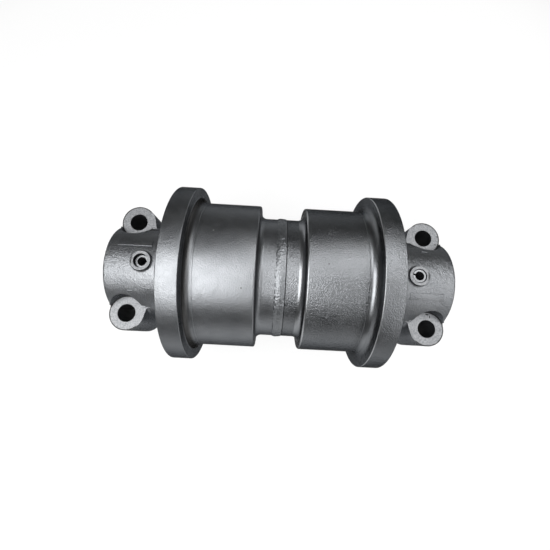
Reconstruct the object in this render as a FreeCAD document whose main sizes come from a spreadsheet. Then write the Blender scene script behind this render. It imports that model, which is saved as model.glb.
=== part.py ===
import FreeCAD, Part
import math
import os

import Sketcher

# Track bottom roller: a double-flanged shell of two forged halves turns on a fixed shaft,
# and two cast collars pinned to the shaft are bolted under the track frame.
#
# Frame: the roller's axis is X. The collars' mounting faces look down, along -Z, and the
# faces that the bolt heads sit on look up. The origin is on the axis, midway between the
# ends. Lengths are millimetres. Pieces that come in pairs are drawn once, for the +X side,
# and the left one is the same piece turned half a turn about Z.
#
# The sizes add up to treads of 200, guide flanges of 240 and bolt holes at 405 x 128.

SIZES = (
    ("overall_length", 450, "over the outer ends of the two collars"),
    ("flange_width", 25, "thickness of a flange at its rim"),
    ("flange_edge_round", 1, "radius on a flange's two rim edges"),
    ("flange_root_round", 10, "radius between tread and flange"),
    ("flange_height", 20, "guide flange above the tread that the track links run on"),
    ("tread_edge_round", 2.5, "radius on a tread's inner edge"),
    ("tread_step", 17, "tread above the neck between the two treads"),
    ("neck_wall", 31, "neck above the oil chamber inside it"),
    ("waist_width", 59, "between the two tread end faces"),
    ("waist_root_round", 8, "radius between neck and tread end face"),
    ("weld_groove_width", 13.6, "width of the weld groove at the neck's surface"),
    ("weld_depth_share", 0.42, "share of the neck's wall that the weld goes through"),
    ("weld_crown", 1.2, "height of the weld bead above the neck"),
    ("oil_cavity_step", 8, "oil chamber's wall beyond the bushing seat"),
    ("bore_lead_chamfer", 1.5, "lead-in for pressing the bushings home"),
    ("shaft_dia", 75, "fixed shaft"),
    ("shaft_end_recess", 5, "shaft ends lie this far inside the collars' ends"),
    ("shaft_chamfer", 3, "chamfer on the shaft's ends"),
    ("shaft_relief_depth", 1, "depth of the plain relief between the bushings"),
    ("shaft_relief_gap", 8, "from a bushing's inner end to the relief"),
    ("centre_drill_dia", 12, "mouth of the lathe centres in the shaft's ends"),
    ("centre_drill_depth", 10, "depth of the lathe centres"),
    ("oil_bore_dia", 10, "oil way along the shaft"),
    ("oil_bore_depth", 15.5, "from the shaft's surface in to the oil way's middle"),
    ("oil_outlet_dia", 8, "cross hole from the oil way to the chamber"),
    ("plug_dia", 14, "oil plug's thread, outside"),
    ("plug_length", 14, "oil plug"),
    ("plug_sink", 1, "oil plug's head below the shaft's end"),
    ("plug_fit_gap", 0.05, "between the oil plug and its hole"),
    ("plug_socket", 6, "hexagon socket across flats"),
    ("plug_socket_depth", 7, "hexagon socket"),
    ("running_clearance", 0.05, "radial, shaft to bushing"),
    ("collar_bore_clearance", 0.03, "radial, shaft to collar"),
    ("thrust_clearance", 0.4, "axial, bushing flange to collar hub"),
    ("bush_wall", 6.45, "wall of a bushing's barrel"),
    ("bush_length", 60, "barrel of a bushing, without its flange"),
    ("bush_setback", 3, "from the oil chamber to a bushing's inner end"),
    ("bush_flange_lip", 3, "bushing flange beyond the barrel"),
    ("bush_flange_thickness", 6, "bushing flange"),
    ("bush_groove_dia", 4, "oil grooves along the bushing's bore"),
    ("bush_groove_count", 3, "oil grooves in a bushing"),
    ("labyrinth_depth", 7, "recess in the shell's end that the collar's disc enters"),
    ("labyrinth_gap", 3, "axial gap between the recess and the disc"),
    ("labyrinth_side_gap", 4, "radial gap between the recess and the disc"),
    ("seal_floor_gap", 2.5, "from a seal ring's back to the floor of its pocket"),
    ("seal_ring_clearance", 2, "radial, bushing flange to seal ring"),
    ("seal_ring_wall", 5, "seal ring under its rubber ring"),
    ("seal_face_height", 11, "seal ring at its lapped face"),
    ("seal_ring_width", 12, "seal ring along the axis"),
    ("seal_rim_width", 3.4, "outer rim beside the lapped face"),
    ("seal_ramp_rise", 1.2, "taper of the ramp that the rubber ring grips"),
    ("seal_seat_rise", 1.6, "taper of the pocket wall that the rubber ring grips"),
    ("seal_face_gap", 0.05, "oil film between the two lapped faces"),
    ("toric_fit_gap", 0.1, "between a rubber ring and the metal round it"),
    ("disc_thickness", 20, "collar's inner disc"),
    ("disc_step", 18, "collar's inner disc beyond the barrel"),
    ("disc_edge_round", 2, "radius on the disc's edges"),
    ("disc_root_round", 8, "cast radius between disc and barrel"),
    ("collar_dia", 120, "collar's barrel"),
    ("collar_neck", 26, "bare barrel between the disc and the lugs"),
    ("collar_end_round", 3, "radius on the barrel's outer end"),
    ("hub_step", 2, "collar hub's wall beyond the bushing's barrel"),
    ("collar_bore_chamfer", 2, "chamfer at the bore's outer end"),
    ("bolt_edge", 22.5, "from a bolt hole's middle to its lug's outside"),
    ("bolt_outset", 4, "from the barrel's side to a bolt hole's middle"),
    ("bolt_hole_dia", 24, "clearance hole for a 22 mm bolt"),
    ("spot_face_height", 23, "bolt head faces above the axis"),
    ("spot_overcut", 0.5, "radius of the facing cutter beyond the lug"),
    ("mount_cut", 5, "mounting faces above the barrel's lowest line"),
    ("lug_root_round", 5, "cast radius between lug and barrel"),
    ("pin_boss_gap", 2, "from the disc's cast radius to the lock pin's boss"),
    ("pin_boss_wall", 3.5, "round boss at a lock pin, beyond its hole"),
    ("pin_boss_rise", 5, "boss top above the barrel"),
    ("pin_boss_root_round", 1.5, "cast radius round that boss"),
    ("pin_boss_edge_round", 0.6, "radius on the boss's top edge"),
    ("pin_dia", 18, "slotted spring pin and its hole"),
    ("pin_wall", 3.2, "wall of the spring pin"),
    ("pin_slot", 2.2, "slot along the spring pin"),
    ("pin_end_chamfer", 1, "chamfer on the spring pin's ends"),
    ("pin_floor", 5.5, "metal left between a pin hole and the mounting face"),
    ("pin_foot_gap", 2.5, "below the left pin in its hole"),
    ("left_pin_sink", 6, "left pin's top below its boss"),
    ("right_pin_sink", 1, "right pin's top below its boss"),
    ("left_pin_turn", 0, "degrees, slot of the left pin from straight inboard"),
    ("right_pin_turn", 14, "degrees, slot of the right pin from straight inboard"),
    ("oring_offset", 6, "from the collar's disc to the shaft's O-ring groove"),
    ("oring_groove_width", 5, "O-ring groove"),
    ("oring_groove_depth", 3, "O-ring groove"),
    ("oring_fit_gap", 0.04, "between the O-ring and the metal round it"),
)

# Places along the axis, from the outer end inwards.
COLLAR_END = "(Sizes.overall_length / 2)"
SHAFT_END = f"({COLLAR_END} - Sizes.shaft_end_recess)"
BOLT_X = f"({COLLAR_END} - Sizes.bolt_edge)"
LUG_START = f"({BOLT_X} - Sizes.bolt_edge)"
DISC_BACK = f"({LUG_START} - Sizes.collar_neck)"
FLAT_START = f"({DISC_BACK} + Sizes.disc_root_round)"
ORING_X = f"({DISC_BACK} + Sizes.oring_offset)"
DISC_FACE = f"({DISC_BACK} - Sizes.disc_thickness)"
RECESS_FLOOR = f"({DISC_FACE} - Sizes.labyrinth_gap)"
SHELL_END = f"({RECESS_FLOOR} + Sizes.labyrinth_depth)"
FLANGE_INNER = f"({SHELL_END} - Sizes.flange_width)"
SEAL_PLANE = f"({RECESS_FLOOR} + Sizes.labyrinth_gap / 2)"
POCKET_FLOOR = f"({SEAL_PLANE} - Sizes.seal_ring_width - Sizes.seal_floor_gap)"
BUSH_END = f"({POCKET_FLOOR} - Sizes.bush_length)"
CAVITY_END = f"({BUSH_END} - Sizes.bush_setback)"
RELIEF_END = f"({BUSH_END} - Sizes.shaft_relief_gap)"
BUSH_FACE = f"({POCKET_FLOOR} + Sizes.bush_flange_thickness)"
HUB_NOSE = f"({BUSH_FACE} + Sizes.thrust_clearance)"
TREAD_END = "(Sizes.waist_width / 2)"

# Radii, from the shaft outwards.
SHAFT_R = "(Sizes.shaft_dia / 2)"
COLLAR_BORE_R = f"({SHAFT_R} + Sizes.collar_bore_clearance)"
BUSH_BORE_R = f"({SHAFT_R} + Sizes.running_clearance)"
BUSH_R = f"({BUSH_BORE_R} + Sizes.bush_wall)"
BUSH_LIP_R = f"({BUSH_R} + Sizes.bush_flange_lip)"
HUB_R = f"({BUSH_R} + Sizes.hub_step)"
SEAL_BORE_R = f"({BUSH_LIP_R} + Sizes.seal_ring_clearance)"
SEAL_RAMP_R = f"({SEAL_BORE_R} + Sizes.seal_ring_wall)"
SEAL_R = f"({SEAL_BORE_R} + Sizes.seal_face_height)"
TORIC_DIA = "(Sizes.seal_ring_width - Sizes.seal_rim_width - 2 * Sizes.toric_fit_gap)"
TORIC_RING_R = f"({SEAL_RAMP_R} + Sizes.toric_fit_gap + {TORIC_DIA} / 2)"
SEAL_SEAT_R = f"({SEAL_RAMP_R} + 2 * Sizes.toric_fit_gap + {TORIC_DIA})"
BARREL_R = "(Sizes.collar_dia / 2)"
DISC_R = f"({BARREL_R} + Sizes.disc_step)"
RECESS_R = f"({DISC_R} + Sizes.labyrinth_side_gap)"
CAVITY_R = f"({BUSH_R} + Sizes.oil_cavity_step)"
WAIST_R = f"({CAVITY_R} + Sizes.neck_wall)"
WELD_ROOT_R = f"({WAIST_R} - Sizes.weld_depth_share * Sizes.neck_wall)"
TREAD_R = f"({WAIST_R} + Sizes.tread_step)"
FLANGE_R = f"({TREAD_R} + Sizes.flange_height)"
PIN_R = "(Sizes.pin_dia / 2)"
PIN_BOSS_R = f"({PIN_R} + Sizes.pin_boss_wall)"
OIL_WAY_R = f"({SHAFT_R} - Sizes.oil_bore_depth)"
ORING_FLOOR_R = f"({SHAFT_R} - Sizes.oring_groove_depth)"
ORING_DIA = f"({COLLAR_BORE_R} - {ORING_FLOOR_R} - 2 * Sizes.oring_fit_gap)"

# The lock pins and the bolts, which stand upright.
PIN_X = f"({FLAT_START} + Sizes.pin_boss_gap + {PIN_BOSS_R})"
PIN_TOP = f"({BARREL_R} + Sizes.pin_boss_rise)"
MOUNT_DEPTH = f"({BARREL_R} - Sizes.mount_cut)"
PIN_HOLE_DEPTH = f"({PIN_TOP} + {MOUNT_DEPTH} - Sizes.pin_floor)"
PIN_LENGTH = f"({PIN_HOLE_DEPTH} - Sizes.left_pin_sink - Sizes.pin_foot_gap)"
BOLT_Y = f"({BARREL_R} + Sizes.bolt_outset)"
BOLT_R = "(Sizes.bolt_hole_dia / 2)"
SPOT_R = "(Sizes.bolt_edge + Sizes.spot_overcut)"

# How far a cut runs past the metal that it has to leave, and how close two places are
# to be the same: on exact curves, and at spots along a curve where two faces meet.
OVERRUN = 20
MATCH = 1e-4
FOOT_MATCH = 0.01
FOOT_SPOTS = 5

X_AXIS = FreeCAD.Vector(1, 0, 0)
Z_AXIS = FreeCAD.Vector(0, 0, 1)
OUTWARD_TURN = {"right": 0, "left": 180}

doc = FreeCAD.newDocument("TrackRoller")
sheet = doc.addObject("Spreadsheet::Sheet", "Sizes")


def fill_sheet():
    """Writes each driving size into the sheet, beside what it measures."""
    for row, (alias, value, meaning) in enumerate(SIZES, start=1):
        sheet.set(f"A{row}", meaning)
        sheet.set(f"B{row}", str(value))
        sheet.setAlias(f"B{row}", alias)
    doc.recompute()


def value(expression):
    """The number that an expression over the sheet gives now."""
    return float(sheet.evalExpression(str(expression)))


# Sketches


def new_body(label, side=None):
    """An empty body, turned to face outwards on its side of the roller."""
    body = doc.addObject("PartDesign::Body", label)
    body.Label = label
    if side is not None:
        turn = FreeCAD.Rotation(Z_AXIS, OUTWARD_TURN[side])
        body.Placement = FreeCAD.Placement(FreeCAD.Vector(), turn)
    return body


def new_sketch(body, name, role, offset=None):
    """A sketch on one of the body's own origin planes, moved along its normal by offset."""
    plane = [f for f in body.Origin.OriginFeatures if f.Role == role][0]
    sketch = body.newObject("Sketcher::SketchObject", name)
    sketch.AttachmentSupport = (plane, [""])
    sketch.MapMode = "FlatFace"
    if offset is not None:
        sketch.setExpression(".AttachmentOffset.Base.z", offset)
    return sketch


def place_point(sketch, geometry, point, across, up):
    """Ties one point of the sketch to two expressions, measured from the origin."""
    for kind, expression in (("DistanceX", across), ("DistanceY", up)):
        number = value(expression)
        index = sketch.addConstraint(
            Sketcher.Constraint(kind, -1, 1, geometry, point, number)
        )
        sketch.setExpression(f"Constraints[{index}]", str(expression))


def outline(sketch, corners):
    """Draws a closed outline of straight lines through corners given as expressions."""
    spots = [FreeCAD.Vector(value(a), value(b), 0) for a, b in corners]
    first = sketch.GeometryCount
    count = len(corners)
    for i in range(count):
        line = Part.LineSegment(spots[i], spots[(i + 1) % count])
        sketch.addGeometry(line, False)
    for i in range(count):
        follower = first + (i + 1) % count
        sketch.addConstraint(Sketcher.Constraint("Coincident", first + i, 2, follower, 1))
        place_point(sketch, first + i, 1, *corners[i])


def circle(sketch, across, up, radius):
    """Draws a circle whose centre and radius are expressions."""
    centre = FreeCAD.Vector(value(across), value(up), 0)
    index = sketch.addGeometry(Part.Circle(centre, Z_AXIS, value(radius)), False)
    place_point(sketch, index, 3, across, up)
    constraint = sketch.addConstraint(Sketcher.Constraint("Radius", index, value(radius)))
    sketch.setExpression(f"Constraints[{constraint}]", str(radius))


def arc(sketch, centre, radius, start_angle, end_angle):
    """Draws an arc of a circle, anticlockwise, with its centre and radius as expressions."""
    middle = FreeCAD.Vector(value(centre[0]), value(centre[1]), 0)
    whole = Part.Circle(middle, Z_AXIS, value(radius))
    index = sketch.addGeometry(
        Part.ArcOfCircle(whole, math.radians(start_angle), math.radians(end_angle)), False
    )
    place_point(sketch, index, 3, *centre)
    constraint = sketch.addConstraint(Sketcher.Constraint("Radius", index, value(radius)))
    sketch.setExpression(f"Constraints[{constraint}]", str(radius))
    return index


def line(sketch, start, end):
    """Draws a straight line between two spots that later constraints hold."""
    return sketch.addGeometry(
        Part.LineSegment(FreeCAD.Vector(*start, 0), FreeCAD.Vector(*end, 0)), False
    )


# Features


def turned(body, name, corners):
    """A solid turned about the roller's axis from an outline of (x, radius) corners."""
    sketch = new_sketch(body, f"{name}_outline", "XZ_Plane")
    outline(sketch, corners)
    return turn_sketch(body, name, sketch, "PartDesign::Revolution")


def turned_cut(body, name, corners):
    """A groove turned about the roller's axis."""
    sketch = new_sketch(body, f"{name}_outline", "XZ_Plane")
    outline(sketch, corners)
    return turn_sketch(body, name, sketch, "PartDesign::Groove")


def turn_sketch(body, name, sketch, kind):
    """Turns a sketch on the XZ plane a full turn about X, as metal or as a cut."""
    feature = body.newObject(kind, name)
    feature.Profile = sketch
    feature.ReferenceAxis = (sketch, ["H_Axis"])
    feature.Angle = 360
    doc.recompute()
    return feature


def pad(body, name, sketch, length):
    """Raises a sketch along its normal."""
    feature = body.newObject("PartDesign::Pad", name)
    feature.Profile = sketch
    feature.setExpression("Length", str(length))
    doc.recompute()
    return feature


def pocket(body, name, sketch, along_normal):
    """Cuts a sketch through all that lies on one side of it."""
    feature = body.newObject("PartDesign::Pocket", name)
    feature.Profile = sketch
    feature.Type = "ThroughAll"
    feature.Reversed = along_normal
    doc.recompute()
    return feature


def hole(body, name, sketch, diameter, depth=None, along_normal=False):
    """Drills a sketch's circles, right through where no depth is given."""
    doc.recompute()
    feature = body.newObject("PartDesign::Hole", name)
    feature.Profile = sketch
    feature.Reversed = along_normal
    feature.setExpression("Diameter", str(diameter))
    if depth is None:
        feature.DepthType = "ThroughAll"
    else:
        feature.DepthType = "Dimension"
        feature.setExpression("Depth", str(depth))
    doc.recompute()
    return feature


def dress(body, name, kind, pick, radius):
    """Rounds or chamfers the edges that pick accepts from the body's shape so far."""
    base = body.Tip
    names = [
        f"Edge{i}" for i, edge in enumerate(base.Shape.Edges, start=1) if pick(edge)
    ]
    if not names:
        raise RuntimeError(f"{body.Label}: {name} finds no edge")
    feature = body.newObject(kind, name)
    feature.Base = (base, names)
    feature.setExpression("Size" if kind.endswith("Chamfer") else "Radius", str(radius))
    doc.recompute()
    return feature


def round_edges(body, name, pick, radius):
    """Rounds the edges that pick accepts."""
    return dress(body, name, "PartDesign::Fillet", pick, radius)


def chamfer_edges(body, name, pick, length):
    """Chamfers the edges that pick accepts."""
    return dress(body, name, "PartDesign::Chamfer", pick, length)


def ring_at(x, radius):
    """Picks the circular edges about the roller's axis at a place and radius."""
    place = value(x)
    size = value(radius)

    def pick(edge):
        curve = edge.Curve
        return (
            isinstance(curve, Part.Circle)
            and abs(curve.Radius - size) < MATCH
            and abs(curve.Center.x - place) < MATCH
            and abs(abs(curve.Axis.dot(X_AXIS)) - 1) < MATCH
        )

    return pick


def upright_ring_at(x, y, z, radius):
    """Picks the circular edges about an upright axis at a place and radius."""
    spot = FreeCAD.Vector(value(x), value(y), value(z))
    size = value(radius)

    def pick(edge):
        curve = edge.Curve
        return (
            isinstance(curve, Part.Circle)
            and abs(curve.Radius - size) < MATCH
            and curve.Center.distanceToPoint(spot) < MATCH
            and abs(abs(curve.Axis.dot(Z_AXIS)) - 1) < MATCH
        )

    return pick


def any_of(*picks):
    """Picks the edges that at least one of several picks accepts."""
    return lambda edge: any(pick(edge) for pick in picks)


# Rolling pieces


def make_shell(side):
    """One forged and turned half of the shell: tread, flange, neck, bore and seal seat."""
    body = new_body(f"roller_shell_{side}", side)
    half_groove = "(Sizes.weld_groove_width / 2)"
    turned(
        body,
        "Forging",
        [
            ("0", CAVITY_R),
            (CAVITY_END, CAVITY_R),
            (CAVITY_END, BUSH_R),
            (POCKET_FLOOR, BUSH_R),
            (POCKET_FLOOR, f"{SEAL_SEAT_R} - Sizes.seal_seat_rise / 2"),
            (RECESS_FLOOR, f"{SEAL_SEAT_R} + Sizes.seal_seat_rise / 2"),
            (RECESS_FLOOR, RECESS_R),
            (SHELL_END, RECESS_R),
            (SHELL_END, FLANGE_R),
            (FLANGE_INNER, FLANGE_R),
            (FLANGE_INNER, TREAD_R),
            (TREAD_END, TREAD_R),
            (TREAD_END, WAIST_R),
            (half_groove, WAIST_R),
            ("0", WELD_ROOT_R),
        ],
    )
    round_edges(body, "FlangeRoot", ring_at(FLANGE_INNER, TREAD_R), "Sizes.flange_root_round")
    round_edges(body, "WaistRoot", ring_at(TREAD_END, WAIST_R), "Sizes.waist_root_round")
    round_edges(body, "TreadEdge", ring_at(TREAD_END, TREAD_R), "Sizes.tread_edge_round")
    round_edges(
        body,
        "FlangeEdges",
        any_of(ring_at(SHELL_END, FLANGE_R), ring_at(FLANGE_INNER, FLANGE_R)),
        "Sizes.flange_edge_round",
    )
    chamfer_edges(
        body,
        "BushLead",
        ring_at(CAVITY_END, BUSH_R),
        "Sizes.bore_lead_chamfer",
    )
    return body


def make_weld():
    """The weld that fills the groove between the two halves, with a low crown."""
    body = new_body("centre_weld")
    sketch = new_sketch(body, "Weld_outline", "XZ_Plane")
    half = value("Sizes.weld_groove_width / 2")
    neck = value(WAIST_R)
    root = value(WELD_ROOT_R)
    crown = "(((Sizes.weld_groove_width / 2)^2 + Sizes.weld_crown^2) / (2 * Sizes.weld_crown))"
    middle = f"({WAIST_R} + Sizes.weld_crown - {crown})"
    lean = math.degrees(math.asin(half / value(crown)))
    bead = arc(sketch, ("0", middle), crown, 90 - lean, 90 + lean)
    left = line(sketch, (-half, neck), (0, root))
    right = line(sketch, (0, root), (half, neck))
    sketch.addConstraint(Sketcher.Constraint("Coincident", bead, 2, left, 1))
    sketch.addConstraint(Sketcher.Constraint("Coincident", left, 2, right, 1))
    sketch.addConstraint(Sketcher.Constraint("Coincident", right, 2, bead, 1))
    place_point(sketch, right, 1, "0", WELD_ROOT_R)
    for index, point in ((bead, 1), (bead, 2)):
        level = sketch.addConstraint(
            Sketcher.Constraint("DistanceY", -1, 1, index, point, neck)
        )
        sketch.setExpression(f"Constraints[{level}]", WAIST_R)
    turn_sketch(body, "Weld", sketch, "PartDesign::Revolution")
    return body


def make_bushing(side):
    """A flanged bushing pressed into the shell, with oil grooves along its bore."""
    body = new_body(f"{side}_bushing", side)
    turned(
        body,
        "Bush",
        [
            (BUSH_END, BUSH_BORE_R),
            (BUSH_FACE, BUSH_BORE_R),
            (BUSH_FACE, BUSH_LIP_R),
            (POCKET_FLOOR, BUSH_LIP_R),
            (POCKET_FLOOR, BUSH_R),
            (BUSH_END, BUSH_R),
        ],
    )
    sketch = new_sketch(body, "OilGroove_outline", "YZ_Plane")
    circle(sketch, "0", BUSH_BORE_R, "Sizes.bush_groove_dia / 2")
    groove = pocket(body, "OilGroove", sketch, True)
    pattern = body.newObject("PartDesign::PolarPattern", "OilGrooves")
    pattern.Originals = [groove]
    axis = [f for f in body.Origin.OriginFeatures if f.Role == "X_Axis"][0]
    pattern.Axis = (axis, [""])
    pattern.Angle = 360
    pattern.setExpression("Occurrences", "Sizes.bush_groove_count")
    body.Tip = pattern
    doc.recompute()
    return body


# Face seals


def mirrored(x):
    """The place that a place on the shell's side of the seal plane has on the collar's side."""
    return f"(2 * {SEAL_PLANE} - {x})"


def same(x):
    """The place itself, for the shell's side of the seal plane."""
    return f"({x})"


SEAL_FACE = f"({SEAL_PLANE} - Sizes.seal_face_gap / 2)"
SEAL_RIM_BACK = f"({SEAL_FACE} - Sizes.seal_rim_width)"
SEAL_BACK = f"({SEAL_FACE} - Sizes.seal_ring_width)"
TORIC_X = f"(({SEAL_RIM_BACK} + {SEAL_BACK}) / 2)"


def make_seal_ring(side, role, place):
    """A lapped metal seal ring, whose tapered back carries a rubber ring."""
    body = new_body(f"{side}_{role}_seal_ring", side)
    turned(
        body,
        "SealRing",
        [
            (place(SEAL_FACE), SEAL_BORE_R),
            (place(SEAL_FACE), SEAL_R),
            (place(SEAL_RIM_BACK), SEAL_R),
            (place(SEAL_RIM_BACK), f"{SEAL_RAMP_R} - Sizes.seal_ramp_rise / 2"),
            (place(SEAL_BACK), f"{SEAL_RAMP_R} + Sizes.seal_ramp_rise / 2"),
            (place(SEAL_BACK), SEAL_BORE_R),
        ],
    )
    return body


def make_ring(label, side, place, ring_radius, section):
    """A rubber ring of round section about the roller's axis."""
    ring = doc.addObject("Part::Torus", label)
    ring.Label = label
    ring.setExpression("Radius1", ring_radius)
    ring.setExpression("Radius2", f"{section} / 2")
    along_x = FreeCAD.Rotation(FreeCAD.Vector(0, 1, 0), 90)
    ring.Placement = FreeCAD.Placement(FreeCAD.Vector(), along_x)
    sign = "" if side == "right" else "-"
    ring.setExpression(".Placement.Base.x", f"{sign}{place}")
    return ring


# Fixed pieces


def make_shaft():
    """The fixed shaft: relief, O-ring grooves, lathe centres, pin holes and oil ways."""
    body = new_body("axle_shaft")
    relief_r = f"({SHAFT_R} - Sizes.shaft_relief_depth)"
    turned(
        body,
        "Bar",
        [
            (f"-{SHAFT_END}", "0"),
            (f"-{SHAFT_END}", SHAFT_R),
            (f"-{RELIEF_END}", SHAFT_R),
            (f"-{RELIEF_END}", relief_r),
            (RELIEF_END, relief_r),
            (RELIEF_END, SHAFT_R),
            (SHAFT_END, SHAFT_R),
            (SHAFT_END, "0"),
        ],
    )
    chamfer_edges(
        body,
        "EndChamfers",
        any_of(ring_at(SHAFT_END, SHAFT_R), ring_at(f"-{SHAFT_END}", SHAFT_R)),
        "Sizes.shaft_chamfer",
    )
    half_width = "Sizes.oring_groove_width / 2"
    for side, sign in (("Right", ""), ("Left", "-")):
        centre = f"{sign}{ORING_X}"
        turned_cut(
            body,
            f"{side}RingGroove",
            [
                (f"{centre} - {half_width}", ORING_FLOOR_R),
                (f"{centre} + {half_width}", ORING_FLOOR_R),
                (f"{centre} + {half_width}", f"{SHAFT_R} + {OVERRUN}"),
                (f"{centre} - {half_width}", f"{SHAFT_R} + {OVERRUN}"),
            ],
        )
        end = f"{sign}{SHAFT_END}"
        tip = f"{sign}({SHAFT_END} - Sizes.centre_drill_depth)"
        turned_cut(
            body,
            f"{side}Centre",
            [(tip, "0"), (end, "0"), (end, "Sizes.centre_drill_dia / 2")],
        )
    sketch = new_sketch(body, "PinHoles_centres", "XY_Plane", SHAFT_R)
    circle(sketch, PIN_X, "0", PIN_R)
    circle(sketch, f"-{PIN_X}", "0", PIN_R)
    hole(body, "PinHoles", sketch, "Sizes.pin_dia")
    sketch = new_sketch(body, "OilWay_centre", "YZ_Plane", f"-{SHAFT_END}")
    circle(sketch, f"-{OIL_WAY_R}", "0", "Sizes.oil_bore_dia / 2")
    way_end = f"{SHAFT_END} + Sizes.oil_outlet_dia / 2"
    hole(body, "OilWay", sketch, "Sizes.oil_bore_dia", way_end, True)
    sketch = new_sketch(body, "PlugHole_centre", "YZ_Plane", f"-{SHAFT_END}")
    circle(sketch, f"-{OIL_WAY_R}", "0", "Sizes.plug_dia / 2 + Sizes.plug_fit_gap")
    plug_depth = "Sizes.plug_length + Sizes.plug_sink"
    hole(
        body,
        "PlugHole",
        sketch,
        "Sizes.plug_dia + 2 * Sizes.plug_fit_gap",
        plug_depth,
        True,
    )
    sketch = new_sketch(body, "OilOutlet_centre", "XZ_Plane", SHAFT_R)
    circle(sketch, "0", "0", "Sizes.oil_outlet_dia / 2")
    hole(body, "OilOutlet", sketch, "Sizes.oil_outlet_dia", "Sizes.oil_bore_depth")
    return body


def make_plug():
    """The socket-headed oil plug in the shaft's left end."""
    body = new_body("oil_plug")
    head = f"({SHAFT_END} - Sizes.plug_sink)"
    sketch = new_sketch(body, "Plug_outline", "YZ_Plane", f"-{head}")
    circle(sketch, f"-{OIL_WAY_R}", "0", "Sizes.plug_dia / 2")
    pad(body, "Plug", sketch, "Sizes.plug_length")
    sketch = new_sketch(body, "Socket_outline", "YZ_Plane", f"-{head}")
    corner = "(Sizes.plug_socket / sqrt(3))"
    spots = []
    for k in range(6):
        spots.append(
            (
                f"-{OIL_WAY_R} + {corner} * cos({60 * k})",
                f"{corner} * sin({60 * k})",
            )
        )
    outline(sketch, spots)
    socket = pocket(body, "Socket", sketch, True)
    socket.Type = "Length"
    socket.setExpression("Length", "Sizes.plug_socket_depth")
    doc.recompute()
    return body


def lug_outline(sketch):
    """The lugs' plan: a bar across the barrel with a round end at each bolt hole."""
    half = value(BOLT_Y)
    outer = value(COLLAR_END)
    inner = value(LUG_START)
    top = arc(sketch, (BOLT_X, BOLT_Y), "Sizes.bolt_edge", 0, 180)
    bottom = arc(sketch, (BOLT_X, f"-{BOLT_Y}"), "Sizes.bolt_edge", 180, 360)
    inboard = line(sketch, (inner, half), (inner, -half))
    outboard = line(sketch, (outer, -half), (outer, half))
    for a, a_end, b, b_end in (
        (top, 2, inboard, 1),
        (inboard, 2, bottom, 1),
        (bottom, 2, outboard, 1),
        (outboard, 2, top, 1),
    ):
        sketch.addConstraint(Sketcher.Constraint("Coincident", a, a_end, b, b_end))
    for curve, point in ((top, 1), (top, 2)):
        level = sketch.addConstraint(
            Sketcher.Constraint("DistanceY", -1, 1, curve, point, half)
        )
        sketch.setExpression(f"Constraints[{level}]", BOLT_Y)
    for curve, point in ((bottom, 1), (bottom, 2)):
        level = sketch.addConstraint(
            Sketcher.Constraint("DistanceY", -1, 1, curve, point, -half)
        )
        sketch.setExpression(f"Constraints[{level}]", f"-{BOLT_Y}")


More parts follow.
